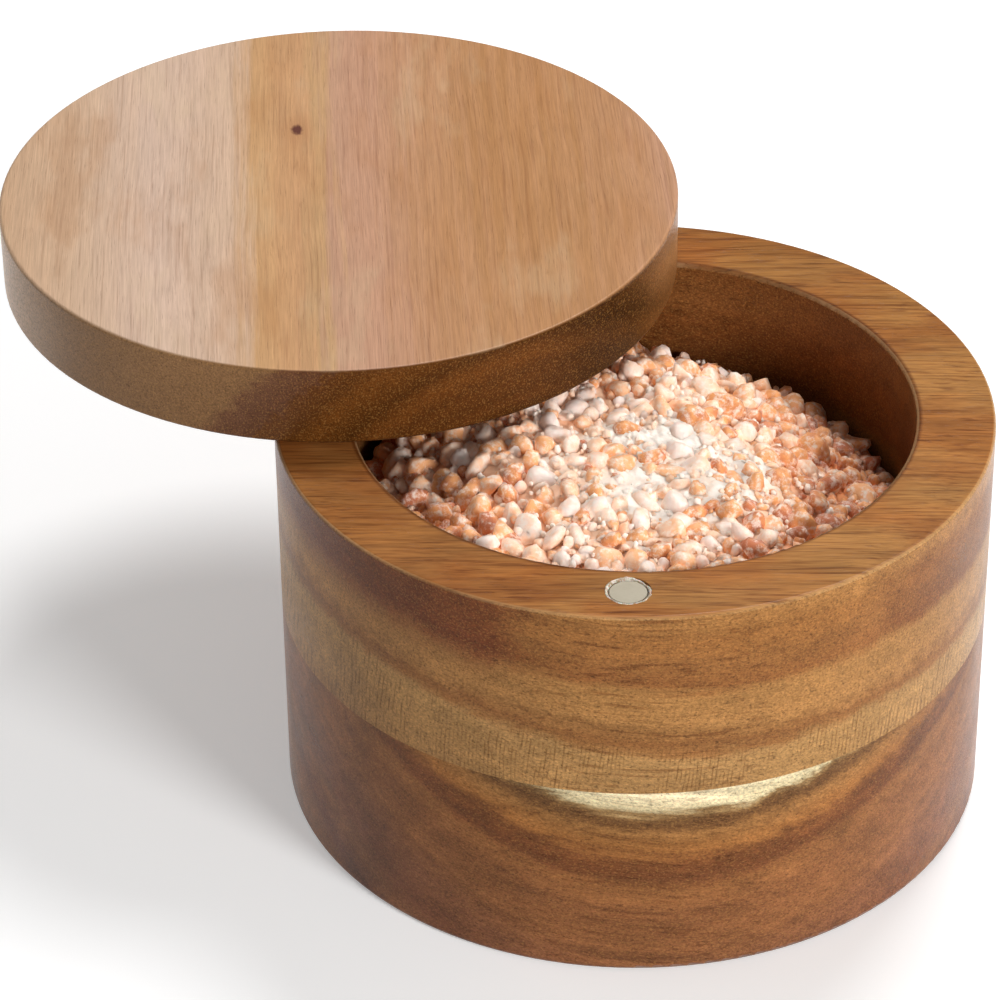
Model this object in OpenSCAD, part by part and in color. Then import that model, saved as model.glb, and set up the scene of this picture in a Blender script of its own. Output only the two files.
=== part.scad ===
// Round wooden salt box. Its lid swivels sideways on an upright pin, and two magnets hold it shut.
// Millimetres, +Z up. The origin is the centre of the underside of the box.
// The pin stands at the back (+Y) and the magnets meet at the front (-Y).
// The box is turned from two boards glued face to face, the lid from one board.

/* [Box] */
// Outer diameter of the box
body_d = 88.9; // [80:0.1:110]
// Height of the box from its underside to the rim
body_h = 52.9; // [46:0.1:80]
// Thickness of the side wall
wall = 9.7; // [8.5:0.1:14]
// Thickness of the floor under the salt
floor_t = 9.5; // [6:0.1:16]
// Radius of the cove between the wall and the floor
cove_r = 6; // [2:0.5:12]
// Height of the glue line between the two boards
seam_h = 27.3; // [12:0.1:44]
// Radius that eases both edges of the rim
rim_ease = 0.5; // [0.2:0.1:1.5]
// Radius that eases the bottom edge
foot_ease = 0.9; // [0.2:0.1:3]

/* [Lid] */
// Thickness of the lid
lid_t = 10.4; // [9:0.1:16]
// How far the edge of the closed lid stands inside the side of the box
lid_inset = 0.75; // [0:0.05:1.5]
// Running gap between the rim and the lid
lid_gap = 0.2; // [0.1:0.05:0.5]
// Radius that eases both edges of the lid
lid_ease = 0.5; // [0.2:0.1:1.5]
// How far the lid is swung open, clockwise seen from above
open_angle = 83; // [0:1:180]

/* [Pivot] */
// How far the pin and the magnets stand inside the middle of the wall
wall_offset = 0.6; // [0:0.1:1]
// Diameter of the steel pin
pin_d = 4; // [3:0.1:5]
// Length of pin held in the box
pin_in_box = 16; // [10:0.5:18]
// Length of pin that stands up into the lid
pin_in_lid = 6.6; // [4:0.1:7]
// Chamfer on both ends of the pin
pin_chamfer = 0.4; // [0.2:0.1:0.6]
// Running clearance all round between the pin and its hole in the lid
pin_clearance = 0.05; // [0.03:0.01:0.1]
// Space over the end of the pin in the lid
pin_end_gap = 0.4; // [0.2:0.1:1]
// Depth of the cone that the drill point leaves at the end of each pin hole
drill_point = 1.1; // [0.5:0.1:1.2]

/* [Catch] */
// Diameter of each magnet
magnet_d = 4.8; // [4:0.1:6]
// Thickness of each magnet
magnet_t = 3; // [2:0.1:5]
// Chamfer round the faces of each magnet
magnet_chamfer = 0.2; // [0.1:0.05:0.4]
// How far each magnet sits below its wooden face
magnet_recess = 0.2; // [0.1:0.05:0.6]
// Thickness of the ring of glue round each magnet
glue_t = 0.35; // [0.2:0.05:0.5]

/* [Hidden] */
$fn = 96;
CUT = 1;

body_r = body_d / 2;
cavity_r = body_r - wall;
lid_r = body_r - lid_inset;
lid_z = body_h + lid_gap;
axis_r = body_r - wall / 2 - wall_offset;
pin_r = pin_d / 2;
magnet_r = magnet_d / 2;
pocket_r = magnet_r + glue_t;

LOWER_BOARD_TONE = [0.36, 0.20, 0.12];
UPPER_BOARD_TONE = [0.62, 0.40, 0.20];
LID_TONE = [0.72, 0.53, 0.34];
STEEL_TONE = [0.72, 0.72, 0.74];
MAGNET_TONE = [0.76, 0.75, 0.71];
GLUE_TONE = [0.90, 0.88, 0.82];

// What is taken off to round the top right corner of a profile, which lies at the origin.
// Turned by a multiple of 90 degrees, it rounds the other corners.
module corner_cut(r, turn) {
    rotate(turn)
        difference() {
            translate([-r, -r])
                square(r + CUT);
            translate([-r, -r])
                circle(r);
        }
}

// Half section of the hollow, with its cove at the floor.
module hollow_profile() {
    difference() {
        translate([0, floor_t])
            square([cavity_r, body_h]);
        translate([cavity_r, floor_t])
            corner_cut(cove_r, -90);
    }
}

// Half section of the whole turned box.
module box_profile() {
    difference() {
        square([body_r, body_h]);
        translate([body_r, 0])
            corner_cut(foot_ease, -90);
        translate([body_r, body_h])
            corner_cut(rim_ease, 0);
        translate([cavity_r, body_h])
            corner_cut(rim_ease, 90);
        hollow_profile();
    }
}

// Half section of the lid.
module lid_profile() {
    difference() {
        square([lid_r, lid_t]);
        translate([lid_r, 0])
            corner_cut(lid_ease, -90);
        translate([lid_r, lid_t])
            corner_cut(lid_ease, 0);
    }
}

// Places its child on the axis of the pin.
module at_pin() {
    translate([0, axis_r, 0])
        children();
}

// Places its child where the magnets meet.
module at_catch() {
    translate([0, -axis_r, 0])
        children();
}

// Swings the lid's pieces from closed to open round the pin.
module swung() {
    at_pin()
        rotate(-open_angle)
            translate([0, -axis_r, 0])
                children();
}

// Drilled hole that opens at the origin and runs up, with the cone of the drill point.
module drilled(r, depth) {
    translate([0, 0, -CUT])
        cylinder(h = depth + CUT, r = r);
    translate([0, 0, depth])
        cylinder(h = drill_point, r1 = r, r2 = 0);
}

// Flat pocket that opens at the origin and runs up.
module pocket() {
    translate([0, 0, -CUT])
        cylinder(h = magnet_recess + magnet_t + CUT, r = pocket_r);
}

// Disc with a chamfer round both faces.
module chamfered_rod(r, h, chamfer) {
    rotate_extrude()
        polygon([
            [0, 0],
            [r - chamfer, 0],
            [r, chamfer],
            [r, h - chamfer],
            [r - chamfer, h],
            [0, h]
        ]);
}

module magnet() {
    chamfered_rod(magnet_r, magnet_t, magnet_chamfer);
}

module glue_ring() {
    rotate_extrude()
        translate([magnet_r, 0])
            square([glue_t, magnet_t]);
}

// The part of the turned box between two heights, with the pin hole and the magnet pocket.
module turned_board(bottom, top) {
    difference() {
        rotate_extrude()
            intersection() {
                box_profile();
                translate([0, bottom])
                    square([body_r + CUT, top - bottom]);
            }
        at_pin()
            translate([0, 0, body_h])
                mirror([0, 0, 1])
                    drilled(pin_r, pin_in_box);
        at_catch()
            translate([0, 0, body_h])
                mirror([0, 0, 1])
                    pocket();
    }
}

module body_lower_board() {
    color(LOWER_BOARD_TONE)
        turned_board(0, seam_h);
}

module body_upper_board() {
    color(UPPER_BOARD_TONE)
        turned_board(seam_h, body_h);
}

module lid_board() {
    color(LID_TONE)
        swung()
            translate([0, 0, lid_z])
                difference() {
                    rotate_extrude()
                        lid_profile();
                    at_pin()
                        drilled(pin_r + pin_clearance, pin_in_lid - lid_gap + pin_end_gap);
                    at_catch()
                        pocket();
                }
}

module pivot_pin() {
    color(STEEL_TONE)
        at_pin()
            translate([0, 0, body_h - pin_in_box])
                chamfered_rod(pin_r, pin_in_box + pin_in_lid, pin_chamfer);
}

module rim_magnet() {
    color(MAGNET_TONE)
        at_catch()
            translate([0, 0, body_h - magnet_recess - magnet_t])
                magnet();
}

module rim_magnet_glue() {
    color(GLUE_TONE)
        at_catch()
            translate([0, 0, body_h - magnet_recess - magnet_t])
                glue_ring();
}

module lid_magnet() {
    color(MAGNET_TONE)
        swung()
            at_catch()
                translate([0, 0, lid_z + magnet_recess])
                    magnet();
}

module lid_magnet_glue() {
    color(GLUE_TONE)
        swung()
            at_catch()
                translate([0, 0, lid_z + magnet_recess])
                    glue_ring();
}

body_lower_board();
body_upper_board();
lid_board();
pivot_pin();
rim_magnet();
rim_magnet_glue();
lid_magnet();
lid_magnet_glue();
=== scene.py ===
"""Finishes for a turned wooden salt box with a swivel lid: oiled wood, glued magnets and pink salt."""

import math
import random
from collections import namedtuple

import bmesh
import bpy
from mathutils import Euler, Matrix, Quaternion, Vector, noise


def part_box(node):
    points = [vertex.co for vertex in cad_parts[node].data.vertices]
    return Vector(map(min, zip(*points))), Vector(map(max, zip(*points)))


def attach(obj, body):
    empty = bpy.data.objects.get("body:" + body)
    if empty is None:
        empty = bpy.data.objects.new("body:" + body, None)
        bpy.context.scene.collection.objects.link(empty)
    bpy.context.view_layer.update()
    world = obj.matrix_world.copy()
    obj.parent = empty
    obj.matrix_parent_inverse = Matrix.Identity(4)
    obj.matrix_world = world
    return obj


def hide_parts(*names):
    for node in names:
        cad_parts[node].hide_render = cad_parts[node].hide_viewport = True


bl_info = {
    "name": "Salt box finishes",
    "version": (1, 0, 0),
    "blender": (4, 5, 0),
    "location": "3D View > Sidebar > Salt Box",
    "description": "Wood, metal, glue, salt and a plain studio for a salt box with a swivel lid",
    "category": "Object",
}

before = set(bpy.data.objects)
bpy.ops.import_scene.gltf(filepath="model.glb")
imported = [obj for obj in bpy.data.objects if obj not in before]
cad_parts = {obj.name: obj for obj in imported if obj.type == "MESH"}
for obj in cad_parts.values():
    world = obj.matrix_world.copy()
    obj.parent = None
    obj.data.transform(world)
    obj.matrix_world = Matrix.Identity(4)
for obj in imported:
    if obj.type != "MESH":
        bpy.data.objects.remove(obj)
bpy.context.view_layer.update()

MM = 0.001
RIM_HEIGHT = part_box("body_upper_board")[1].z
LID_LOW, LID_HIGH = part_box("lid_board")
LID_CENTRE = (LID_LOW + LID_HIGH) / 2
# The hollow of the box, which the boards' outer sizes don't tell
CAVITY_RADIUS = 34.75 * MM
FLOOR_HEIGHT = 9.5 * MM


def srgb(code):
    """Linear colour of a six digit screen colour code."""
    channels = [int(code[i : i + 2], 16) / 255 for i in (0, 2, 4)]
    return tuple(c / 12.92 if c <= 0.04045 else ((c + 0.055) / 1.055) ** 2.4 for c in channels)


def color_property(name, description, code):
    return bpy.props.FloatVectorProperty(
        name=name, description=description, subtype="COLOR", size=3, min=0, max=1, default=srgb(code)
    )


def number_property(name, description, default, **kind):
    return bpy.props.FloatProperty(name=name, description=description, default=default, **kind)


def length_property(name, description, default):
    return number_property(name, description, default, subtype="DISTANCE", unit="LENGTH")


def sheen_property(name, description, default):
    return number_property(name, description, default, min=0, max=1, subtype="FACTOR")


def power_property(name, description, default):
    return number_property(name, description, default, unit="POWER")


def place_property(name, description, default):
    return bpy.props.FloatVectorProperty(
        name=name, description=description, subtype="XYZ", unit="LENGTH", default=default
    )


def count_property(name, description, default, least):
    return bpy.props.IntProperty(name=name, description=description, default=default, min=least)


# Shader helpers


def wire(tree, node, inputs):
    """Links or fills a node's inputs."""
    for key, value in inputs.items():
        if isinstance(value, bpy.types.NodeSocket):
            tree.links.new(value, node.inputs[key])
        else:
            node.inputs[key].default_value = value


def add_node(tree, kind, inputs=None, **settings):
    """Adds a shader node, sets its options, and links or fills its inputs."""
    made = tree.nodes.new(kind)
    for name, value in settings.items():
        setattr(made, name, value)
    wire(tree, made, inputs or {})
    return made


def calc(tree, operation, a, b=0.0):
    return add_node(tree, "ShaderNodeMath", {0: a, 1: b}, operation=operation).outputs[0]


def plus(tree, a, b):
    return calc(tree, "ADD", a, b)


def minus(tree, a, b):
    return calc(tree, "SUBTRACT", a, b)


def times(tree, first, *others):
    """The product of two or more values."""
    for other in others:
        first = calc(tree, "MULTIPLY", first, other)
    return first


def most(tree, a, b):
    """The larger of two values."""
    return calc(tree, "MAXIMUM", a, b)


def length_of(tree, vector):
    return add_node(tree, "ShaderNodeVectorMath", {0: vector}, operation="LENGTH").outputs["Value"]


def parts_of(tree, vector):
    """The X, Y and Z of a vector."""
    return add_node(tree, "ShaderNodeSeparateXYZ", {0: vector}).outputs


def sum_of(tree, a, b):
    """Two vectors added."""
    return add_node(tree, "ShaderNodeVectorMath", {0: a, 1: b}, operation="ADD").outputs[0]


def stretch(tree, vector, factors):
    """The vector with each coordinate multiplied by its own factor."""
    return add_node(tree, "ShaderNodeVectorMath", {0: vector, 1: factors}, operation="MULTIPLY").outputs[0]


def cloud(tree, vector, detail=3.0, rough=0.5, scale=1.0):
    """Smooth noise from 0 to 1."""
    inputs = {"Vector": vector, "Scale": scale, "Detail": detail, "Roughness": rough}
    return add_node(tree, "ShaderNodeTexNoise", inputs).outputs[0]


def streaky(tree, vector, factors, detail, rough=0.5):
    """Smooth noise, finer along each coordinate by its own factor."""
    return cloud(tree, stretch(tree, vector, factors), detail, rough)


def span(tree, value, low, high, to_low=0.0, to_high=1.0, how="LINEAR"):
    """The value carried evenly from one range to another."""
    inputs = {"Value": value, "From Min": low, "From Max": high, "To Min": to_low, "To Max": to_high}
    return add_node(tree, "ShaderNodeMapRange", inputs, interpolation_type=how).outputs[0]


def ease(tree, *figures):
    """The value carried from one range to another, with soft ends."""
    return span(tree, *figures, how="SMOOTHSTEP")


NOISE_LOW = 0.3
NOISE_HIGH = 0.7


def swing(tree, value, low, high):
    """Noise, from the values that it mostly keeps between, carried evenly to a range."""
    return span(tree, value, NOISE_LOW, NOISE_HIGH, low, high)


def opaque(color):
    """A plain colour with its alpha, or a socket as it is."""
    return color if isinstance(color, bpy.types.NodeSocket) else (*color, 1.0)


def blend_color(tree, factor, a, b, how="MIX"):
    inputs = {0: factor, 6: opaque(a), 7: opaque(b)}
    return add_node(tree, "ShaderNodeMix", inputs, data_type="RGBA", blend_type=how).outputs[2]


def tinted(tree, color, tint):
    """The colour multiplied by a tint."""
    return blend_color(tree, 1.0, color, tint, "MULTIPLY")


def color_ramp(tree, factor, stops):
    made = add_node(tree, "ShaderNodeValToRGB", {0: factor})
    elements = made.color_ramp.elements
    while len(elements) < len(stops):
        elements.new(1.0)
    for element, (place, color) in zip(elements, stops):
        element.position = place
        element.color = (*color, 1.0)
    return made.outputs[0]


def color_scale(tree, value, stops):
    """A colour ramp whose stops lie at figures of the value itself."""
    low, high = stops[0][0], stops[-1][0]
    spread = [((place - low) / (high - low), color) for place, color in stops]
    return color_ramp(tree, span(tree, value, low, high), spread)


def new_group(name, inputs, outputs):
    """An empty shader node group with value outputs, and its two ends."""
    tree = bpy.data.node_groups.new(name, "ShaderNodeTree")
    for socket, kind in inputs:
        tree.interface.new_socket(socket, in_out="INPUT", socket_type=kind)
    for socket in outputs:
        tree.interface.new_socket(socket, in_out="OUTPUT", socket_type="NodeSocketFloat")
    return tree, tree.nodes.new("NodeGroupInput").outputs, tree.nodes.new("NodeGroupOutput").inputs


def use_group(tree, group, inputs):
    return add_node(tree, "ShaderNodeGroup", inputs, node_tree=group).outputs


def new_material(name):
    """A material with a bare Principled BSDF."""
    made = bpy.data.materials.new(name)
    made.use_nodes = True
    made.node_tree.nodes.clear()
    shader = add_node(made.node_tree, "ShaderNodeBsdfPrincipled")
    out = add_node(made.node_tree, "ShaderNodeOutputMaterial")
    made.node_tree.links.new(shader.outputs[0], out.inputs["Surface"])
    return made, made.node_tree, shader


def object_place(tree):
    return add_node(tree, "ShaderNodeTexCoord").outputs["Object"]


def place_in_mm(tree):
    return stretch(tree, object_place(tree), (1 / MM, 1 / MM, 1 / MM))


def bump(tree, height, distance, strength=1.0):
    inputs = {"Height": height, "Distance": distance, "Strength": strength}
    return add_node(tree, "ShaderNodeBump", inputs).outputs[0]


# Effects that more than one material uses


def growth_rings_group():
    """Distance from the pith in millimetres, bent by slow waves in the trunk."""
    name = "growth_rings"
    if name in bpy.data.node_groups:
        return bpy.data.node_groups[name]
    inputs = [("Vector", "NodeSocketVector"), ("Warp", "NodeSocketFloat")]
    tree, given, result = new_group(name, inputs, ["Ring"])
    place = given["Vector"]
    distance = length_of(tree, stretch(tree, place, (0, 1, 1)))
    slow = span(tree, streaky(tree, place, (0.012, 0.03, 0.03), 1), 0, 1, -1, 1)
    quick = span(tree, streaky(tree, place, (0.045, 0.16, 0.16), 3), 0, 1, -0.35, 0.35)
    bend = times(tree, plus(tree, slow, quick), given["Warp"])
    tree.links.new(plus(tree, distance, bend), result["Ring"])
    return tree


def wood_fibre_group():
    """Streaks, thin lines, fibres and open pores that run along X, from a place in millimetres."""
    name = "wood_fibre"
    if name in bpy.data.node_groups:
        return bpy.data.node_groups[name]
    outputs = ["Streaks", "Lines", "Fibres", "Pores"]
    tree, given, result = new_group(name, [("Vector", "NodeSocketVector")], outputs)
    place = given["Vector"]
    streaks = streaky(tree, place, (0.02, 0.5, 0.5), 5, 0.62)
    lines = streaky(tree, place, (0.05, 1.7, 1.7), 2, 0.55)
    fibres = streaky(tree, place, (0.16, 3.6, 3.6), 3, 0.6)
    inputs = {"Vector": stretch(tree, place, (0.16, 2.3, 2.3)), "Scale": 1.0}
    vessels = add_node(tree, "ShaderNodeTexVoronoi", inputs, feature="F1").outputs["Distance"]
    dashes = streaky(tree, place, (0.28, 4.6, 4.6), 1, 0.4)
    wide = ease(tree, vessels, 0.18, 0.07)
    thin = ease(tree, dashes, 0.64, 0.74)
    tree.links.new(streaks, result["Streaks"])
    tree.links.new(ease(tree, lines, 0.52, 0.72), result["Lines"])
    tree.links.new(fibres, result["Fibres"])
    tree.links.new(most(tree, wide, times(tree, thin, 0.6)), result["Pores"])
    return tree


def turned_grit_group():
    """The dark pits and pale glints that a lathe leaves, from a place in millimetres."""
    name = "turned_grit"
    if name in bpy.data.node_groups:
        return bpy.data.node_groups[name]
    outputs = ["Grit", "Pits", "PaintedGlints"]
    tree, given, result = new_group(name, [("Vector", "NodeSocketVector")], outputs)
    place = given["Vector"]
    grit = streaky(tree, place, (2.4, 3.6, 3.6), 3, 0.75)
    pits = streaky(tree, place, (2.0, 4.2, 4.2), 2, 0.5)
    painted_glints = streaky(tree, place, (-3.4, 4.8, -4.8), 2, 0.5)
    tree.links.new(grit, result["Grit"])
    tree.links.new(ease(tree, pits, 0.58, 0.70), result["Pits"])
    tree.links.new(ease(tree, painted_glints, 0.50, 0.70), result["PaintedGlints"])
    return tree


# Boards


Cut = namedtuple("Cut", "place height turned")
Cut.__doc__ = "A board's surface: place in millimetres, height among the bands, and 1 on turned walls."


class Board:
    """How one board was cut, and the colour of its growth bands by height at the edge point."""

    def __init__(self, turn, edge_point, edge_ring, bands, **looks):
        self.turn = Euler([math.radians(a) for a in turn])
        outward = self.turn.to_matrix() @ Vector((0, 0, 1))
        self.grain = self.turn.to_matrix() @ Vector((1, 0, 0))
        self.pith = Vector(edge_point) * MM - outward * edge_ring * MM
        self.edge_height = edge_point[2]
        self.edge_ring = edge_ring
        self.rise = outward.z
        self.bands = bands
        vars(self).update(looks)


def board_place(tree, board):
    """Place in millimetres from the board's pith, with X along the grain."""
    inputs = {
        "Vector": object_place(tree),
        "Location": board.pith,
        "Rotation": board.turn,
        "Scale": (MM, MM, MM),
    }
    return add_node(tree, "ShaderNodeMapping", inputs, vector_type="TEXTURE").outputs[0]


def surface_normal(tree):
    return add_node(tree, "ShaderNodeTexCoord").outputs["Normal"]


def end_grain(tree, board):
    """1 where the surface cuts across the grain, 0 where it runs along it."""
    inputs = {0: surface_normal(tree), 1: board.grain}
    along = add_node(tree, "ShaderNodeVectorMath", inputs, operation="DOT_PRODUCT").outputs["Value"]
    return ease(tree, calc(tree, "ABSOLUTE", along), 0.1, 0.7)


def turned_face(tree):
    """1 on upright turned walls, 0 on flat faces."""
    upright = parts_of(tree, surface_normal(tree))["Z"]
    return ease(tree, calc(tree, "ABSOLUTE", upright), 0.9, 0.4)


def band_color(tree, height, bands):
    """Colour of the growth bands at a height, from stops of a height and a colour."""
    return color_scale(tree, height, [(place, srgb(code)) for place, code in bands])


def gray(tree, value):
    return add_node(tree, "ShaderNodeCombineColor", {0: value, 1: value, 2: value}).outputs[0]


def toned(tree, color, noise_value, amount):
    """The colour made lighter and darker by noise."""
    tone = swing(tree, noise_value, 1 - amount, 1 + amount)
    return tinted(tree, color, gray(tree, tone))


GRIT_CONTRAST = 0.38
PIT_SHARE = 0.55
PAINTED_GLINT_SHARE = 0.5


def grit_color(tree, color, grit):
    """The colour with dark pits and pale glints."""
    shaded = toned(tree, color, grit["Grit"], GRIT_CONTRAST)
    shaded = blend_color(tree, times(tree, grit["Pits"], PIT_SHARE), shaded, srgb("3a2010"))
    # Painted glints: specks blended toward pale gold.
    painted_glint_color = blend_color(tree, 0.42, shaded, srgb("e8ac60"))
    return blend_color(tree, times(tree, grit["PaintedGlints"], PAINTED_GLINT_SHARE), shaded, painted_glint_color)


def wood_material(name, board, oil):
    """Oiled wood for one board."""
    material, tree, shader = new_material(name)
    place = board_place(tree, board)
    drift = streaky(tree, place, (0.025, 0.04, 0.04), 2)
    sway = swing(tree, drift, -board.sway, board.sway)
    shift = add_node(tree, "ShaderNodeCombineXYZ", {"Y": sway, "Z": sway}).outputs[0]
    fine = stretch(tree, sum_of(tree, place, shift), (1, board.fineness, board.fineness))
    fibre = use_group(tree, wood_fibre_group(), {"Vector": fine})
    grit = use_group(tree, turned_grit_group(), {"Vector": place})
    ends = end_grain(tree, board)
    turned = turned_face(tree)
    ring = use_group(tree, growth_rings_group(), {"Vector": place, "Warp": board.warp})["Ring"]
    feather = swing(tree, fibre["Streaks"], -board.feather, board.feather)
    beyond = minus(tree, plus(tree, ring, feather), board.edge_ring)
    height = plus(tree, calc(tree, "DIVIDE", beyond, board.rise), board.edge_height)
    color = band_color(tree, height, board.bands)
    if board.end_bands:
        color = blend_color(tree, ends, color, band_color(tree, height, board.end_bands))
    inputs = {"W": ring, "Scale": 0.8, "Detail": 3.0, "Roughness": 0.6}
    rings = add_node(tree, "ShaderNodeTexNoise", inputs, noise_dimensions="1D").outputs[0]
    color = toned(tree, color, rings, board.streak * 0.35)
    color = toned(tree, color, fibre["Streaks"], board.streak)
    mottle = streaky(tree, place, (0.07, 0.16, 0.16), 4, 0.6)
    color = toned(tree, color, mottle, board.streak * 0.7)
    color = toned(tree, color, fibre["Fibres"], board.fibres)
    for figure in board.figures:
        color = figure(tree, color, Cut(place, height, turned))
    lines = times(tree, fibre["Lines"], minus(tree, 1.0, ends), board.lines)
    color = blend_color(tree, lines, color, tinted(tree, color, srgb("a88a7c")))
    pores = times(tree, fibre["Pores"], board.pores)
    color = blend_color(tree, pores, color, tinted(tree, color, srgb("8a6654")))
    # Grit, pits and painted glints on the turned walls.
    color = blend_color(tree, times(tree, turned, board.grit), color, grit_color(tree, color, grit))
    smears = streaky(tree, place, (0.05, 0.09, 0.09), 3)
    rough = plus(tree, swing(tree, smears, oil - 0.04, oil + 0.05), times(tree, fibre["Pores"], 0.2))
    relief = minus(tree, times(tree, fibre["Fibres"], 0.4), fibre["Pores"])
    relief = plus(tree, relief, times(tree, grit["Grit"], turned, 1.2))
    inputs = {
        "Base Color": color,
        "Roughness": rough,
        "Normal": bump(tree, relief, 0.05 * MM, 0.6),
        "Specular IOR Level": 0.14,
        "IOR": 1.46,
    }
    wire(tree, shader, inputs)
    return material


# Figures in the boards


def cavity_painted_shade(tree, color, cut):
    """The inner wall and floor, which drink more oil than the outside."""
    away = length_of(tree, stretch(tree, object_place(tree), (1, 1, 0)))
    inside = ease(tree, away, CAVITY_RADIUS + 0.9 * MM, CAVITY_RADIUS + 0.4 * MM)
    # Painted shade: the hollow's wood is multiplied by a greyish tint.
    return blend_color(tree, inside, color, tinted(tree, color, srgb("bcaca4")))


def flat_rim(tree, color, cut):
    """The flat rim, cut nearly along the grain, so that long streaks and fine dark lines show on it."""
    streaks = streaky(tree, cut.place, (0.02, 1.6, 0.8), 5, 0.68)
    patches = streaky(tree, cut.place, (0.05, 0.08, 0.08), 3)
    reddish = tinted(tree, color, srgb("f0dccc"))
    rich = blend_color(tree, ease(tree, patches, 0.42, 0.62), color, reddish)
    rich = toned(tree, tinted(tree, rich, srgb("fffcf0")), streaks, 0.14)
    lines = ease(tree, streaky(tree, cut.place, (0.022, 3.0, 1.0), 3, 0.6), 0.50, 0.68, 0, 0.6)
    rich = blend_color(tree, lines, rich, tinted(tree, rich, srgb("a88a70")))
    return blend_color(tree, minus(tree, 1.0, cut.turned), color, rich)


def lid_arcs(tree, color, cut):
    """Arcs of growth rings on the lid's turned edge, and the darker heartwood at its right."""
    nearer = sum_of(tree, cut.place, (0, 3.8, -14.0))
    flat = stretch(tree, nearer, (0, 1, 1))
    ragged = streaky(tree, cut.place, (0.1, 0.3, 0.3), 4, 0.65)
    away = plus(tree, length_of(tree, flat), span(tree, ragged, 0, 1, -0.9, 0.9))
    tones = [
        (15.0, 0.40), (17.4, 0.38), (19.2, 0.66), (20.4, 0.52),
        (22.0, 0.60), (23.2, 0.52), (25.0, 0.72), (26.0, 0.58),
        (27.4, 0.36), (29.5, 0.52), (31.0, 0.62), (33.0, 0.46),
        (36.0, 0.54),
    ]
    arcs = color_scale(tree, away, [(ring, (tone, tone, tone)) for ring, tone in tones])
    spot = parts_of(tree, object_place(tree))
    right = ease(tree, spot["X"], -14 * MM, -3 * MM, 1.0, 0.5)
    right = plus(tree, right, ease(tree, spot["X"], -0.5 * MM, 3 * MM, 0.0, 0.3))
    edge = tinted(tree, color, gray(tree, times(tree, arcs, 2.0, right)))
    return blend_color(tree, cut.turned, color, edge)


def painted_edge_highlight(tree, color, cut):
    """The eased edges, where the finish has worn to a lighter line."""
    upright = parts_of(tree, surface_normal(tree))["Z"]
    slope = calc(tree, "ABSOLUTE", upright)
    edge = times(tree, ease(tree, slope, 0.1, 0.4), ease(tree, slope, 0.98, 0.85))
    highlight_mask = times(tree, edge, ease(tree, cloud(tree, cut.place, 2, scale=0.04), 0.35, 0.6, 0.08, 0.3))
    # Painted highlight: the eased edges are blended toward pale gold.
    return blend_color(tree, highlight_mask, color, srgb("e2bc8c"))


def ripple_figure(tree, color, cut):
    """Rows of short upright ticks, as storied rays show on a turned wall."""
    along = parts_of(tree, cut.place)["X"]
    drift = streaky(tree, cut.place, (0.1, 0.08, 0.08), 2)
    phase = plus(tree, times(tree, along, math.tau / 0.48), times(tree, drift, 16))
    rows = ease(tree, calc(tree, "SINE", phase), -0.1, 0.9)
    broken = ease(tree, streaky(tree, cut.place, (2.0, 0.5, 0.5), 2), 0.38, 0.60)
    zone = most(tree, ease(tree, cut.height, 35.5, 33.0), 0.25)
    patch = ease(tree, streaky(tree, cut.place, (0.08, 0.12, 0.12), 2), 0.32, 0.55)
    shown = times(tree, times(tree, rows, broken), times(tree, zone, patch))
    return blend_color(tree, times(tree, shown, cut.turned, 0.55), color, srgb("6a4420"))


def heart_stain(tree, color, cut):
    """Purple-brown heartwood that shows at the left and right of the upper board."""
    spot = parts_of(tree, object_place(tree))
    wander = span(tree, streaky(tree, cut.place, (0.1, 0.3, 0.3), 3), 0, 1, -6 * MM, 6 * MM)
    across = plus(tree, spot["X"], wander)
    behind = plus(tree, spot["Y"], wander)
    left = times(tree, ease(tree, across, -9 * MM, -17 * MM), ease(tree, cut.height, 38.5, 43.0))
    left = times(tree, left, cut.turned)
    right = times(tree, ease(tree, across, 27 * MM, 34 * MM), ease(tree, cut.height, 41.5, 43.5))
    right = times(tree, right, ease(tree, behind, 12 * MM, 5 * MM))
    right = times(tree, right, span(tree, cut.turned, 0, 1, 1, 0.45))
    stain = times(tree, most(tree, left, right), ease(tree, cut.height, 53.5, 50.2))
    return blend_color(tree, stain, color, tinted(tree, color, srgb("c8aaac")))


def scorched_blotches(tree, color, cut):
    """Dark blotches and dashes just under the sapwood of the lower board."""
    blots = streaky(tree, cut.place, (0.4, 1.3, 1.3), 5, 0.72)
    dashes = streaky(tree, cut.place, (0.06, 1.6, 1.6), 4, 0.65)
    upper = times(tree, ease(tree, cut.height, 18.8, 21.8), ease(tree, cut.height, 24.9, 23.9))
    lower = times(tree, ease(tree, cut.height, 13.4, 14.8), ease(tree, cut.height, 18.6, 16.8))
    zone = most(tree, upper, times(tree, lower, 0.5))
    found = most(tree, ease(tree, blots, 0.48, 0.66), ease(tree, dashes, 0.50, 0.68))
    return blend_color(tree, times(tree, found, zone, 0.5), color, srgb("4a2a14"))


KNOT_OFFSET = Vector((-6.7, 15.5, 0)) * MM
KNOT_RADIUS = 0.75 * MM
LID_TURN = (0, 0, -84.8)


def pin_knot(tree, color, cut):
    """A small pin knot in the lid, with a reddish ring round it."""
    inputs = {
        "Vector": object_place(tree),
        "Location": LID_CENTRE + KNOT_OFFSET,
        "Rotation": Euler([math.radians(a) for a in LID_TURN]),
        "Scale": (KNOT_RADIUS * 1.7, KNOT_RADIUS, 10 * KNOT_RADIUS),
    }
    spot = add_node(tree, "ShaderNodeMapping", inputs, vector_type="TEXTURE").outputs[0]
    away = length_of(tree, stretch(tree, spot, (1, 1, 0)))
    ragged = plus(tree, away, span(tree, cloud(tree, spot, 2, scale=1.5), 0, 1, -0.5, 0.5))
    color = blend_color(tree, ease(tree, ragged, 4.5, 0.8, 0, 0.4), color, srgb("b07a50"))
    return blend_color(tree, ease(tree, ragged, 1.4, 0.5, 0, 0.92), color, srgb("5c2e2a"))


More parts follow.
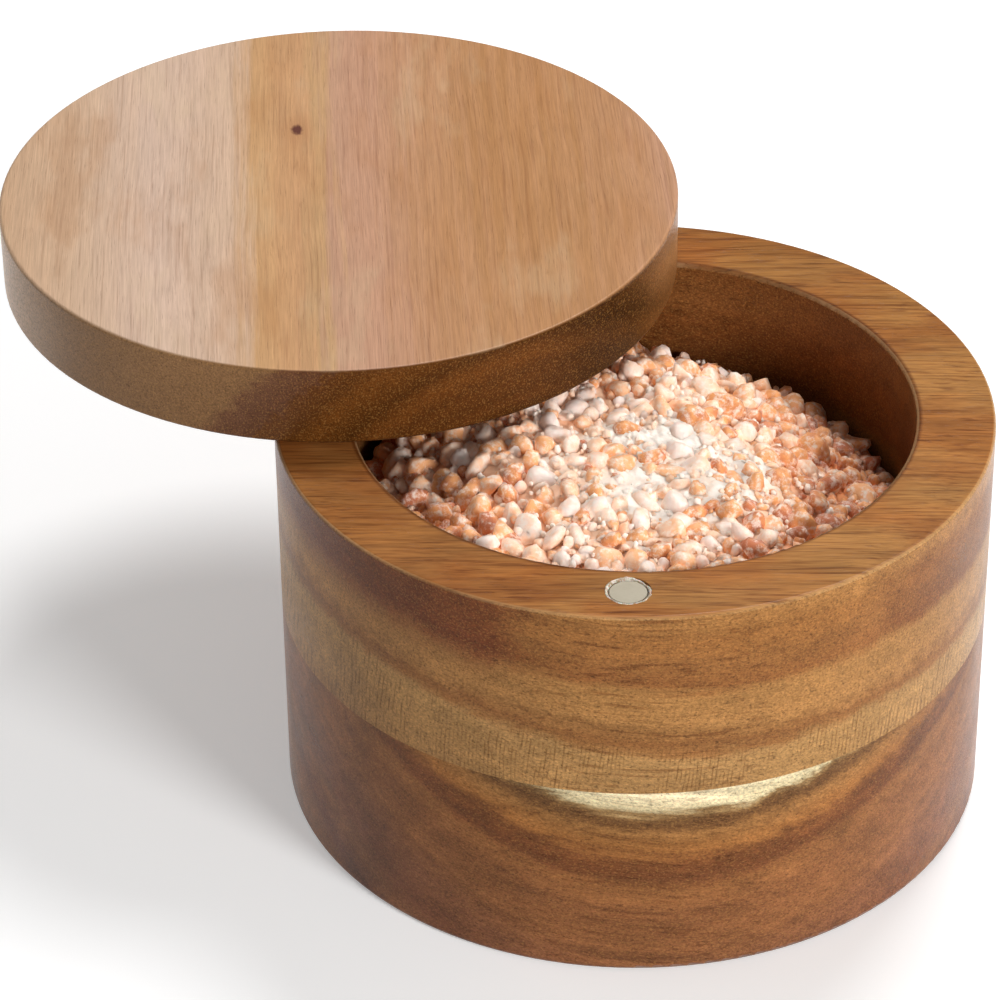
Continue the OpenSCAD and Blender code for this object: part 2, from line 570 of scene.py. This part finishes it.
def lid_patches(tree, color, cut):
    """Faint grey and orange patches that lie along the lid's grain."""
    wide = streaky(tree, cut.place, (0.035, 0.11, 0.11), 4, 0.6)
    flat = minus(tree, 1.0, cut.turned)
    orange = times(tree, ease(tree, wide, 0.5, 0.68, 0, 0.3), flat)
    pale = times(tree, ease(tree, wide, 0.46, 0.3, 0, 0.25), flat)
    return blend_color(tree, pale, blend_color(tree, orange, color, srgb("b07848")), srgb("d8bc98"))


UPPER_BOARD = Board(
    turn=(11.0, 5.0, 1.5),
    edge_point=(0, -44.45, 34.9),
    edge_ring=150,
    bands=[
        (12.0, "9a6a3c"), (18.0, "a87444"), (24.0, "b88a56"), (32.8, "bb8f5a"),
        (34.0, "a06e40"), (34.9, "926036"), (36.0, "a47242"), (37.6, "b17f4b"),
        (42.0, "b07f4a"), (43.6, "945f34"), (46.5, "9a6638"), (50.0, "a26c3a"),
        (53.0, "b07c46"), (61.0, "a4723e"), (66.0, "be9056"), (72.0, "c89a64"),
    ],
    end_bands=None,
    warp=1.6,
    feather=0.9,
    streak=0.16,
    lines=0.6,
    pores=0.22,
    fibres=0.13,
    sway=1.0,
    fineness=1.1,
    grit=1.0,
    figures=[ripple_figure, heart_stain, flat_rim, cavity_painted_shade, painted_edge_highlight],
)

LOWER_BOARD = Board(
    turn=(36.0, 6.6, 0.5),
    edge_point=(0, -44.45, 24.6),
    edge_ring=130,
    bands=[
        (-50.0, "6e4028"), (-35.0, "8c5838"), (-27.0, "7a4a30"), (-20.0, "96603a"),
        (-14.0, "784630"), (-9.0, "94603f"), (-5.0, "845239"), (0.0, "8f5c3f"),
        (5.0, "96613c"), (10.0, "8e5b38"), (13.4, "9c663c"), (14.8, "7e4c2d"),
        (15.7, "7a4829"), (17.4, "86522e"), (19.2, "a86f3c"), (21.5, "a87644"),
        (22.8, "76502e"), (23.7, "7c5834"), (24.4, "a8875a"), (25.0, "ecdaac"),
        (27.0, "f8e8be"), (29.0, "faecc6"),
    ],
    end_bands=None,
    warp=1.3,
    feather=0.6,
    streak=0.24,
    lines=0.5,
    pores=0.2,
    fibres=0.12,
    sway=0.5,
    fineness=1.1,
    grit=0.9,
    figures=[scorched_blotches, cavity_painted_shade],
)

LID_BOARD = Board(
    turn=LID_TURN,
    edge_point=(-13.7, 34.25, 63.5),
    edge_ring=41.5,
    bands=[
        (53.5, "8a5a30"), (58.5, "a87040"), (63.0, "b98658"), (65.5, "bf8e68"),
        (68.0, "c59679"), (70.2, "c3977b"), (71.6, "c69c70"), (73.0, "c8986e"),
        (76.5, "cb9e70"), (78.5, "d2b196"), (86.0, "d5b7a2"), (94.0, "d0af92"),
        (103.0, "cca684"),
    ],
    end_bands=[
        (53.5, "4a280c"), (60.0, "563010"), (66.0, "603713"), (70.4, "5e3514"),
        (71.2, "5f3a24"), (74.6, "6b4630"), (76.0, "866240"), (84.0, "946e4a"),
        (103.0, "9c7854"),
    ],
    warp=1.2,
    feather=1.0,
    streak=0.05,
    lines=0.25,
    pores=0.14,
    fibres=0.13,
    sway=0.3,
    fineness=1.5,
    grit=0.9,
    figures=[lid_patches, pin_knot, lid_arcs],
)


# Metal and glue


def metal_material(name, tint, rough, streaks):
    """Plated or ground steel with faint scratches and finger marks."""
    material, tree, shader = new_material(name)
    place = place_in_mm(tree)
    scratches = streaky(tree, place, streaks, 4, 0.65)
    smears = cloud(tree, place, 2, 0.5, scale=0.5)
    shade = span(tree, plus(tree, scratches, smears), 0.6, 1.4, 0.92, 1.05)
    inputs = {
        "Base Color": tinted(tree, tint, gray(tree, shade)),
        "Roughness": swing(tree, smears, rough - 0.06, rough + 0.08),
        "Normal": bump(tree, scratches, 0.01 * MM, 0.5),
        "Metallic": 0.85,
    }
    wire(tree, shader, inputs)
    return material


def glue_material(settings):
    """Dried glue, whitish and dirty in places."""
    material, tree, shader = new_material("dried_glue")
    place = place_in_mm(tree)
    dirt = ease(tree, cloud(tree, place, 4, 0.7, scale=2.2), 0.38, 0.62, 0.1, 0.9)
    inputs = {
        "Base Color": blend_color(tree, dirt, settings.glue_color, srgb("9c7c58")),
        "Roughness": 0.45,
        "Normal": bump(tree, cloud(tree, place, 3, 0.6, scale=5), 0.03 * MM),
        "Subsurface Weight": 0.3,
        "Subsurface Scale": 0.4 * MM,
    }
    wire(tree, shader, inputs)
    return material


# Meshes


def new_piece(name, mesh_builder, material, body):
    """Makes an object from a bmesh, gives it its material and lets it ride on a body."""
    mesh = bpy.data.meshes.new(name)
    mesh_builder.normal_update()
    mesh_builder.to_mesh(mesh)
    mesh_builder.free()
    for polygon in mesh.polygons:
        polygon.use_smooth = True
    mesh.materials.append(material)
    piece = bpy.data.objects.new(name, mesh)
    bpy.context.scene.collection.objects.link(piece)
    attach(piece, body)
    return piece


def spin_round(mesh_builder, profile, centre, steps):
    """Spins a closed half section, given as radius and height, all the way round an upright axis."""
    corners = [mesh_builder.verts.new(centre + Vector((r, 0, z))) for r, z in profile]
    edges = [mesh_builder.edges.new((a, b)) for a, b in zip(corners, corners[1:] + corners[:1])]
    turn = {"cent": centre, "axis": (0, 0, 1), "angle": math.tau, "steps": steps, "use_merge": True}
    bmesh.ops.spin(mesh_builder, geom=corners + edges, **turn)
    bmesh.ops.remove_doubles(mesh_builder, verts=mesh_builder.verts[:], dist=1e-7)


BEAD_STEPS = 120
GAP_WIDTH = 0.45
GAP_DEPTH = 0.45 * MM


def glue_bead(name, magnet_node, face_up, settings, material, body):
    """A ragged bead of glue that fills the gap between a magnet and its pocket."""
    low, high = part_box(magnet_node)
    centre = (low + high) / 2
    magnet_radius = (high.x - low.x) / 2
    ring_low, ring_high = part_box(magnet_node + "_glue")
    pocket_radius = (ring_high.x - ring_low.x) / 2
    sign = 1 if face_up else -1
    face = high.z if face_up else low.z
    foot = low.z if face_up else high.z
    wood = face + sign * settings.magnet_recess
    centre.z = 0
    middle = (magnet_radius + pocket_radius) / 2
    crown = [
        (magnet_radius, face),
        (middle - 0.25 * (pocket_radius - magnet_radius), face + sign * 0.7 * settings.magnet_recess),
        (middle, wood),
        (middle + 0.25 * (pocket_radius - magnet_radius), wood + sign * settings.bead_rise),
        (pocket_radius, wood),
    ]
    builder = bmesh.new()
    spin_round(builder, [(magnet_radius, foot)] + crown + [(pocket_radius, foot)], centre, BEAD_STEPS)
    bmesh.ops.recalc_face_normals(builder, faces=builder.faces[:])
    for vert in builder.verts:
        lift = (vert.co.z - face) * sign
        if lift < -0.01 * MM:
            continue
        out = Vector((vert.co.x - centre.x, vert.co.y - centre.y, 0))
        angle = math.atan2(out.y, out.x)
        round_place = Vector((math.cos(angle), math.sin(angle), 0)) * 3
        wave = noise.noise(round_place * 1.7 + Vector((0, 0, 5 if face_up else 9)))
        gap = math.exp(-(((angle - math.radians(settings.gap_angle)) / GAP_WIDTH) ** 2))
        share = (out.length - magnet_radius) / (pocket_radius - magnet_radius)
        out.normalize()
        vert.co += out * wave * settings.bead_spread * share
        vert.co.z += sign * (0.5 * wave * settings.bead_rise - gap * share * GAP_DEPTH)
    piece = new_piece(name, builder, material, body)
    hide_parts(magnet_node + "_glue")
    return piece


# Salt


# Shape of the heap and of its powdery patch, in millimetres
HEAP_TOP = 50.9
POWDER_CENTRE = (5, -9)
POWDER_RADII = (17, 16)
# How far a grain reaches from its centre, as a share of its size
REACH_OUT = 0.62
REACH_UP = 0.76
# Fineness of the bed's mesh, outward and round
BED_RINGS = 110
BED_STEPS = 320
FINE_SHAPES = 8


def share_of(value, start, width):
    """How far a value is past a start, as a share of a width, kept between 0 and 1."""
    return min(1.0, max(0.0, (value - start) / width))


def heap_height(x, y):
    """Height of the salt in millimetres at a place in the box: full in front, low at the right and back."""
    across, behind = x + 10, y
    along = 0.9 * across + 0.44 * behind
    aside = 0.9 * behind - 0.44 * across
    away = math.hypot(along / (27 if along > 0 else 36), aside / (24 if aside > 0 else 60))
    fall = 13 * max(0.0, away - 0.75)
    left = 0.34 * max(0.0, -16 - x) + 3 * math.exp(-(((x + 35) / 5) ** 2) - (((y - 2) / 12) ** 2))
    waves = 0.9 * noise.noise(Vector((x, y, 0)) * 0.11) + 0.4 * noise.noise(Vector((x, y, 4)) * 0.3)
    back = 1.4 * math.exp(-(((x - 8) / 10) ** 2) - (((y - 20) / 8) ** 2))
    return HEAP_TOP - 1.3 * away * away - fall - left - back + waves


def powder_share(x, y):
    """How much fine salt lies between the grains at a place: 0 none, 1 all."""
    (x0, y0), (wide, deep) = POWDER_CENTRE, POWDER_RADII
    middle = math.exp(-(((x - x0) / wide) ** 2) - (((y - y0) / deep) ** 2))
    ragged = 0.5 * noise.noise(Vector((x, y, 7)) * 0.17) + 0.2 * noise.noise(Vector((x, y, 2)) * 0.5)
    return min(1.0, max(0.0, 1.35 * middle + ragged))


SALT_GLOW = (1.0, 0.9, 0.85)


def salt_material(settings):
    """Frosted salt whose tone, from clear to brick red, is set for each grain."""
    material, tree, shader = new_material("pink_salt")
    tone = add_node(tree, "ShaderNodeAttribute", attribute_name="tone").outputs["Fac"]
    place = place_in_mm(tree)
    veins = cloud(tree, place, 4, 0.6, scale=0.5)
    stops = [
        (0.0, settings.clear_color),
        (0.28, settings.pale_color),
        (0.52, settings.peach_color),
        (0.76, settings.orange_color),
        (1.0, settings.brick_color),
    ]
    color = color_ramp(tree, plus(tree, tone, swing(tree, veins, -0.2, 0.2)), stops)
    cracks = ease(tree, cloud(tree, place, 5, 0.7, scale=1.1), 0.44, 0.66, 0, 0.75)
    inputs = {
        "Base Color": blend_color(tree, cracks, color, settings.powder_color),
        "Roughness": swing(tree, veins, 0.25, 0.45),
        "Normal": bump(tree, cloud(tree, place, 4, 0.65, scale=1.5), 0.2 * MM, 0.5),
        "Specular IOR Level": 0.35,
        "IOR": 1.3,
        "Subsurface Weight": 1.0,
        "Subsurface Radius": SALT_GLOW,
        "Subsurface Scale": 1.2 * MM,
    }
    shader.subsurface_method = "BURLEY"
    wire(tree, shader, inputs)
    return material


def powder_material(settings):
    """Fine salt dust: white where it is fresh, warm where light comes back from deep between the grains."""
    material, tree, shader = new_material("salt_powder")
    tone = add_node(tree, "ShaderNodeAttribute", attribute_name="tone").outputs["Fac"]
    place = place_in_mm(tree)
    specks = swing(tree, cloud(tree, place, 4, 0.65, scale=0.8), -0.12, 0.12)
    stops = [(0.0, settings.powder_color), (0.35, settings.pale_color), (1.0, settings.deep_color)]
    inputs = {
        "Base Color": color_ramp(tree, plus(tree, tone, specks), stops),
        "Roughness": 0.6,
        "Normal": bump(tree, cloud(tree, place, 4, 0.7, scale=3.2), 0.22 * MM, 0.6),
        "Specular IOR Level": 0.3,
        "Subsurface Weight": 0.8,
        "Subsurface Radius": SALT_GLOW,
        "Subsurface Scale": 0.6 * MM,
    }
    shader.subsurface_method = "BURLEY"
    wire(tree, shader, inputs)
    return material


def crystal(rng, detail, flats):
    """One grain, about one unit across: a worn lump with broken flats."""
    builder = bmesh.new()
    bmesh.ops.create_icosphere(builder, subdivisions=detail, radius=0.5)
    for _ in range(flats):
        direction = Vector([rng.gauss(0, 1) for _ in range(3)]).normalized()
        reach = rng.uniform(0.27, 0.42)
        for vert in builder.verts:
            vert.co -= direction * max(0.0, vert.co.dot(direction) - reach)
    bmesh.ops.dissolve_limit(builder, angle_limit=0.2, verts=builder.verts[:], edges=builder.edges[:])
    bmesh.ops.triangulate(builder, faces=builder.faces[:])
    shape = Vector((rng.uniform(1.1, 1.5), rng.uniform(0.9, 1.15), rng.uniform(0.75, 1.05)))
    bmesh.ops.scale(builder, vec=shape, verts=builder.verts[:])
    mesh = bpy.data.meshes.new("crystal")
    builder.to_mesh(mesh)
    builder.free()
    return mesh


def salt_tone(rng, x, y):
    """How red a grain is: most are clear or peach, few are brick red."""
    pick = rng.random() + 0.25 * noise.noise(Vector((x, y, 20)) * 0.09)
    # Painted shade: redder, darker grains at the right, in the rim's shadow, and at the left, in the lid's
    # shade.
    pick += 0.7 * share_of(x, 12, 10) + 0.35 * share_of(-x, 12, 8)
    if pick < 0.36:
        return rng.uniform(0.0, 0.2)
    if pick < 0.68:
        return rng.uniform(0.2, 0.45)
    if pick < 0.92:
        return rng.uniform(0.45, 0.72)
    return rng.uniform(0.72, 1.0)


def scattered(rng, sizes, depth, spacing, tries):
    """Grain centres, in millimetres, that keep their distance on a layer under the heap's surface."""
    small, large = sizes
    taken = {}
    found = []
    reach = CAVITY_RADIUS / MM
    for _ in range(tries):
        size = rng.triangular(small, large, small + 0.35 * (large - small))
        x, y = rng.uniform(-reach, reach), rng.uniform(-reach, reach)
        if math.hypot(x, y) > reach - size * REACH_OUT:
            continue
        key = (math.floor(x / large), math.floor(y / large))
        around = [(key[0] + i, key[1] + j) for i in (-1, 0, 1) for j in (-1, 0, 1)]
        near = [grain for place in around for grain in taken.get(place, [])]
        if any(math.hypot(x - g[0], y - g[1]) < spacing * (size + g[3]) / 2 for g in near):
            continue
        sunk = depth + size * rng.uniform(0.1, 0.45)
        z = heap_height(x, y) - sunk
        grain = (x, y, min(z, RIM_HEIGHT / MM - size * REACH_UP), size)
        taken.setdefault(key, []).append(grain)
        found.append(grain)
    return found


def pour(name, grains, shapes, material, rng, tone_of):
    """Copies a random grain shape to each place, all as one piece."""
    builder = bmesh.new()
    tones = []
    for x, y, z, size in grains:
        copy = rng.choice(shapes).copy()
        turn = Euler([rng.uniform(0, math.tau) for _ in range(3)]).to_matrix().to_4x4()
        copy.transform(Matrix.Translation(Vector((x, y, z)) * MM) @ turn @ Matrix.Scale(size * MM, 4))
        tones.extend([tone_of(rng, x, y)] * len(copy.vertices))
        builder.from_mesh(copy)
        bpy.data.meshes.remove(copy)
    for shape in shapes:
        bpy.data.meshes.remove(shape)
    tone_layer = builder.verts.layers.float.new("tone")
    for vert, tone in zip(builder.verts, tones):
        vert[tone_layer] = tone
    return new_piece(name, builder, material, "box")


def salt_grains(name, settings, material, seed, sizes, layers, spacing, tries, flats):
    """Grains of one size class, heaped in layers."""
    rng = random.Random(seed)
    shapes = [crystal(rng, 2, flats) for _ in range(settings.crystal_shapes)]
    grains = [grain for layer in layers for grain in scattered(rng, sizes, layer, spacing, tries)]
    return pour(name, grains, shapes, material, rng, salt_tone)


def salt_fines(settings, material):
    """Fine salt that lies between the grains where the heap is powdery."""
    rng = random.Random(settings.seed + 5)
    shapes = [crystal(rng, 1, 5) for _ in range(FINE_SHAPES)]
    grains = []
    reach = CAVITY_RADIUS / MM - 1
    for _ in range(settings.fine_grains):
        x, y = rng.uniform(-reach, reach), rng.uniform(-reach, reach)
        if math.hypot(x, y) > reach or rng.random() > powder_share(x, y) - 0.05:
            continue
        size = rng.triangular(0.4, 1.3, 0.6)
        z = min(heap_height(x, y) - rng.uniform(0.0, 0.7), RIM_HEIGHT / MM - size)
        grains.append((x, y, z, size))

    def fine_tone(draw, x, y):
        return draw.uniform(-0.1, 0.35)

    return pour("salt_fines", grains, shapes, material, rng, fine_tone)


def salt_bed(material):
    """The packed salt under the loose grains: a turned solid with a crumbly top."""
    builder = bmesh.new()
    wall = CAVITY_RADIUS - 0.3 * MM
    foot = FLOOR_HEIGHT + 8 * MM
    top = [(wall * i / BED_RINGS, 0.03) for i in range(BED_RINGS + 1)]
    spin_round(builder, [(0, foot)] + top + [(wall, foot)], Vector(), BED_STEPS)
    tone_layer = builder.verts.layers.float.new("tone")
    for vert in builder.verts:
        vert[tone_layer] = 0.9
        if vert.co.z > foot + MM:
            x, y = vert.co.x / MM, vert.co.y / MM
            crumbs = noise.noise(Vector((x, y, 3)) * 0.8) + 0.7 * noise.noise(Vector((x, y, 8)) * 1.7)
            crumbs += 0.6 * noise.noise(Vector((x, y, 5)) * 3.1)
            powder = powder_share(x, y)
            sunk = 1.7 + (0.2 - 1.7) * powder
            vert.co.z = (heap_height(x, y) - sunk + 0.3 * crumbs) * MM
            vert[tone_layer] = 0.85 - 0.85 * powder + 0.3 * noise.noise(Vector((x, y, 1)) * 0.2)
            # Painted shade: the bed turns redder towards the right, where the rim shades the salt.
            vert[tone_layer] += 0.4 * share_of(x, 14, 8)
    bmesh.ops.recalc_face_normals(builder, faces=builder.faces[:])
    return new_piece("salt_bed", builder, material, "box")


# Settings


class SaltBoxWood(bpy.types.PropertyGroup):
    """Finish of the wood"""

    box_oil: sheen_property("Box sheen", "Roughness of the oiled box", 0.31)
    lid_oil: sheen_property("Lid sheen", "Roughness of the oiled lid", 0.34)


class SaltBoxCatch(bpy.types.PropertyGroup):
    """Magnets, pin and glue"""

    magnet_color: color_property("Magnet", "Colour of the magnets' plating", "a09887")
    steel_color: color_property("Pin", "Colour of the steel pin", "b4b4b8")
    glue_color: color_property("Glue", "Colour of the dried glue", "ece8dc")
    magnet_recess: length_property("Recess", "How far a magnet sits below the wood", 0.2 * MM)
    bead_rise: length_property("Bead rise", "How far the glue stands above the wood", 0.05 * MM)
    bead_spread: length_property("Bead spread", "How far the glue runs out over the wood", 0.18 * MM)
    gap_angle: number_property("Gap angle", "Where the glue ran short, in degrees from +X", 40)


class SaltBoxSalt(bpy.types.PropertyGroup):
    """Colours and numbers of the salt"""

    clear_color: color_property("Clear", "Colour of the clear grains", "ffeadf")
    pale_color: color_property("Pale", "Colour of the pale pink grains", "ffd6b6")
    peach_color: color_property("Peach", "Colour of the peach grains", "fcba86")
    orange_color: color_property("Orange", "Colour of the orange grains", "f0a86c")
    brick_color: color_property("Brick", "Colour of the reddest grains", "cc7c58")
    powder_color: color_property("Powder", "Colour of the salt dust", "fff4e8")
    deep_color: color_property("Deep", "Colour of the salt deep between the grains", "e69660")
    crystal_shapes: count_property("Crystal shapes", "How many different grains are copied", 20, 1)
    fine_grains: count_property("Fine grains", "How many fine grains are tried", 3500, 0)
    seed: count_property("Seed", "Start of the random draws", 11, 0)


class SaltBoxStage(bpy.types.PropertyGroup):
    """Camera, lights and floor"""

    camera_place: place_property("Camera", "Where the camera stands", (0.00605, -0.45279, 0.34675))
    camera_target: place_property("Target", "The point that the camera looks at", (-0.01673, 0.0, 0.03882))
    camera_roll: number_property(
        "Roll", "Turn of the camera about its view", math.radians(-0.731), subtype="ANGLE", unit="ROTATION"
    )
    camera_lens: number_property("Lens", "Focal length in millimetres", 157.42)
    ambient: number_property("Ambient", "Strength of the light all round", 0.2)
    window_place: place_property("Window", "Place of the main light at the front", (0.57, -0.612, 0.37))
    window_power: power_property("Window power", "Power of the light at the front right", 6.5)
    overhead_place: place_property("Overhead", "Place of the light above and behind", (0.15, 0.5, 0.9))
    overhead_power: power_property("Overhead power", "Power of the light above and behind", 6.5)
    fill_place: place_property("Fill", "Place of the weak light at the left", (-0.8, 0.15, 0.35))
    fill_power: power_property("Fill power", "Power of the weak light at the left", 0.8)
    floor_color: color_property("Floor", "Colour of the floor", "f4f4f4")
    bounce_color: color_property("Floor bounce", "Colour of the light that the floor throws back", "b4b0ac")
    floor_lift: number_property("Floor lift", "Extra white that only the camera sees on the floor", 0.3)
    glossy_lift: number_property("Glossy lift", "Extra white that only reflections see on the floor", 0.5)


# Operators


def dress(node, material):
    """Gives a CAD node its material in every slot."""
    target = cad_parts[node]
    if not target.material_slots:
        target.data.materials.append(material)
    for slot in target.material_slots:
        slot.material = material


class SALTBOX_OT_box_boards(bpy.types.Operator):
    """Finish the two boards that the box is turned from"""

    bl_idname = "saltbox.box_boards"
    bl_label = "Box Boards"

    def execute(self, context):
        wood = context.scene.salt_box_wood
        dress("body_upper_board", wood_material("upper_board_wood", UPPER_BOARD, wood.box_oil))
        dress("body_lower_board", wood_material("lower_board_wood", LOWER_BOARD, wood.box_oil))
        return {"FINISHED"}


class SALTBOX_OT_lid_board(bpy.types.Operator):
    """Finish the lid's board"""

    bl_idname = "saltbox.lid_board"
    bl_label = "Lid Board"

    def execute(self, context):
        wood = context.scene.salt_box_wood
        dress("lid_board", wood_material("lid_board_wood", LID_BOARD, wood.lid_oil))
        return {"FINISHED"}


class SALTBOX_OT_metal(bpy.types.Operator):
    """Finish the pivot pin and both magnets"""

    bl_idname = "saltbox.metal"
    bl_label = "Pin and Magnets"

    def execute(self, context):
        catch = context.scene.salt_box_catch
        plating = metal_material("magnet_plating", catch.magnet_color, rough=0.5, streaks=(1.5, 9, 1.5))
        dress("rim_magnet", plating)
        dress("lid_magnet", plating)
        dress("pivot_pin", metal_material("pin_steel", catch.steel_color, rough=0.3, streaks=(3, 3, 18)))
        return {"FINISHED"}


class SALTBOX_OT_glue(bpy.types.Operator):
    """Make the beads of glue that hold the magnets"""

    bl_idname = "saltbox.glue"
    bl_label = "Glue Beads"

    def execute(self, context):
        catch = context.scene.salt_box_catch
        material = glue_material(catch)
        glue_bead("rim_glue_bead", "rim_magnet", True, catch, material, "box")
        glue_bead("lid_glue_bead", "lid_magnet", False, catch, material, "lid")
        return {"FINISHED"}


class SALTBOX_OT_salt(bpy.types.Operator):
    """Fill the box with coarse pink salt"""

    bl_idname = "saltbox.salt"
    bl_label = "Salt"

    def execute(self, context):
        salt = context.scene.salt_box_salt
        material = salt_material(salt)
        powder = powder_material(salt)
        salt_bed(powder)
        coarse = {"sizes": (2.8, 5.2), "layers": (0.0, 1.6), "spacing": 0.66, "tries": 9000, "flats": 10}
        small = {"sizes": (1.2, 2.4), "layers": (0.5,), "spacing": 0.8, "tries": 4000, "flats": 7}
        salt_grains("salt_grains", salt, material, salt.seed, **coarse)
        salt_grains("salt_crumbs", salt, material, salt.seed + 1, **small)
        salt_fines(salt, powder)
        return {"FINISHED"}


def soft_light(name, place, target, size, power):
    """A round area light that shines from a place on a target."""
    data = bpy.data.lights.new(name, "AREA")
    data.shape = "DISK"
    data.size = size
    data.energy = power
    light = bpy.data.objects.new(name, data)
    light.location = place
    light.rotation_mode = "QUATERNION"
    light.rotation_quaternion = (Vector(target) - Vector(place)).to_track_quat("-Z", "Y")
    bpy.context.scene.collection.objects.link(light)
    return light


def white_behind(tree, plain):
    """Plain light, or white where the camera or a clear surface looks at the backdrop."""
    path = add_node(tree, "ShaderNodeLightPath").outputs
    seen = most(tree, path["Is Camera Ray"], path["Is Transmission Ray"])
    white = add_node(tree, "ShaderNodeBackground", {"Color": (1, 1, 1, 1), "Strength": 1.0}).outputs[0]
    return add_node(tree, "ShaderNodeMixShader", {0: seen, 1: plain, 2: white}).outputs[0]


def make_floor(settings):
    """A wide round floor that the camera and reflections see as white, and that throws back little light."""
    builder = bmesh.new()
    bmesh.ops.create_circle(builder, cap_ends=True, radius=6.0, segments=64)
    mesh = bpy.data.meshes.new("floor")
    builder.to_mesh(mesh)
    builder.free()
    floor = bpy.data.objects.new("floor", mesh)
    bpy.context.scene.collection.objects.link(floor)
    material, tree, shader = new_material("floor_paper")
    path = add_node(tree, "ShaderNodeLightPath").outputs
    seen = most(tree, path["Is Camera Ray"], path["Is Glossy Ray"])
    camera_lift = times(tree, path["Is Camera Ray"], settings.floor_lift)
    glossy_lift = times(tree, path["Is Glossy Ray"], settings.glossy_lift)
    inputs = {
        "Base Color": blend_color(tree, seen, settings.bounce_color, settings.floor_color),
        "Roughness": 1.0,
        "Specular IOR Level": 0.0,
        "Emission Color": (1, 1, 1, 1),
        "Emission Strength": plus(tree, camera_lift, glossy_lift),
    }
    wire(tree, shader, inputs)
    mesh.materials.append(material)


def make_light(scene, settings):
    """Even light all round and three soft lights, of which no surface mirrors the main one."""
    world = bpy.data.worlds.new("studio")
    world.use_nodes = True
    tree = world.node_tree
    tree.nodes.clear()
    plain = add_node(tree, "ShaderNodeBackground", {"Color": (1, 1, 1, 1), "Strength": settings.ambient})
    out = add_node(tree, "ShaderNodeOutputWorld")
    tree.links.new(white_behind(tree, plain.outputs[0]), out.inputs["Surface"])
    scene.world = world
    window = soft_light("window", settings.window_place, (0, 0, 0.03), 0.28, settings.window_power)
    window.visible_glossy = False
    soft_light("fill", settings.fill_place, (0, 0, 0.04), 0.6, settings.fill_power)
    soft_light("overhead", settings.overhead_place, (0, 0, 0.05), 0.4, settings.overhead_power)


def make_camera(scene, settings):
    data = bpy.data.cameras.new("camera")
    data.lens = settings.camera_lens
    data.sensor_width = 36
    data.clip_start = 0.01
    camera = bpy.data.objects.new("camera", data)
    camera.location = settings.camera_place
    look = Vector(settings.camera_target) - Vector(settings.camera_place)
    turn = look.to_track_quat("-Z", "Y") @ Quaternion((0, 0, 1), settings.camera_roll)
    camera.rotation_euler = turn.to_euler()
    scene.collection.objects.link(camera)
    scene.camera = camera


class SALTBOX_OT_stage(bpy.types.Operator):
    """Set up the floor, the soft light and the camera"""

    bl_idname = "saltbox.stage"
    bl_label = "Stage"

    def execute(self, context):
        scene = context.scene
        make_floor(scene.salt_box_stage)
        make_light(scene, scene.salt_box_stage)
        make_camera(scene, scene.salt_box_stage)
        scene.view_settings.view_transform = "Standard"
        return {"FINISHED"}


class SALTBOX_PT_panel(bpy.types.Panel):
    """Lists the pieces of the salt box"""

    bl_label = "Salt Box"
    bl_space_type = "VIEW_3D"
    bl_region_type = "UI"
    bl_category = "Salt Box"

    def draw(self, context):
        for operator in OPERATORS:
            self.layout.operator(operator.bl_idname)
        for group in SETTINGS:
            settings = getattr(context.scene, group)
            for name in settings.bl_rna.properties.keys():
                if name not in ("rna_type", "name"):
                    self.layout.prop(settings, name)


SETTINGS = {
    "salt_box_wood": SaltBoxWood,
    "salt_box_catch": SaltBoxCatch,
    "salt_box_salt": SaltBoxSalt,
    "salt_box_stage": SaltBoxStage,
}
OPERATORS = [
    SALTBOX_OT_box_boards,
    SALTBOX_OT_lid_board,
    SALTBOX_OT_metal,
    SALTBOX_OT_glue,
    SALTBOX_OT_salt,
    SALTBOX_OT_stage,
]


def register():
    for kind in [*SETTINGS.values(), *OPERATORS, SALTBOX_PT_panel]:
        bpy.utils.register_class(kind)
    for name, group in SETTINGS.items():
        setattr(bpy.types.Scene, name, bpy.props.PointerProperty(type=group))


def unregister():
    for name in SETTINGS:
        delattr(bpy.types.Scene, name)
    for kind in reversed([*SETTINGS.values(), *OPERATORS, SALTBOX_PT_panel]):
        bpy.utils.unregister_class(kind)


def main():
    register()
    bpy.ops.saltbox.box_boards()
    bpy.ops.saltbox.lid_board()
    bpy.ops.saltbox.metal()
    bpy.ops.saltbox.glue()
    bpy.ops.saltbox.salt()
    bpy.ops.saltbox.stage()


if __name__ == "__main__":
    main()
